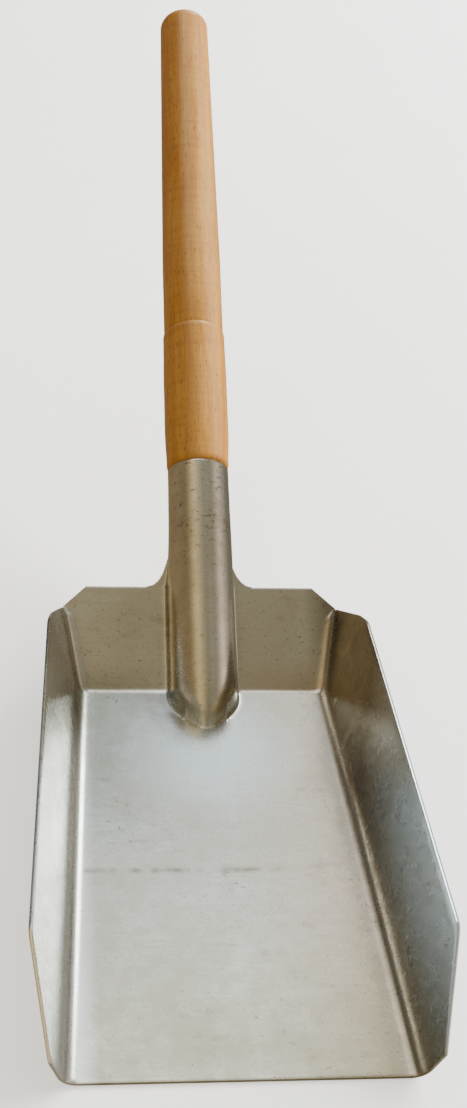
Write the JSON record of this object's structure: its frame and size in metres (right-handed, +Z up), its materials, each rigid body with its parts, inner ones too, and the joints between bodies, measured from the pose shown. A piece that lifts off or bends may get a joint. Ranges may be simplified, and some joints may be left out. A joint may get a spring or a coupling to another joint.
{
  "type": "grain scoop shovel",
  "caption": "One-piece pressed sheet-steel scoop with flared sides, sloping back and a rolled socket that holds a straight turned wooden handle, for moving grain and feed.",
  "frame": {"origin": "middle of the flat underside of the pan's floor", "axes": "+Z up, +Y from the scooping edge towards the end of the handle, +X to the right when looking along +Y"},
  "size_m": [0.1594, 0.5629, 0.2175],
  "materials": {
    "galvanised_steel": "satin zinc-coated sheet",
    "varnished_wood": "satin varnish",
    "screw_steel": "zinc plated"
  },
  "bodies": {
    "root": {"pan_with_socket": "galvanised_steel", "wooden_handle": "varnished_wood", "screw_left": "screw_steel", "screw_right": "screw_steel"}
  },
  "joints": []
}
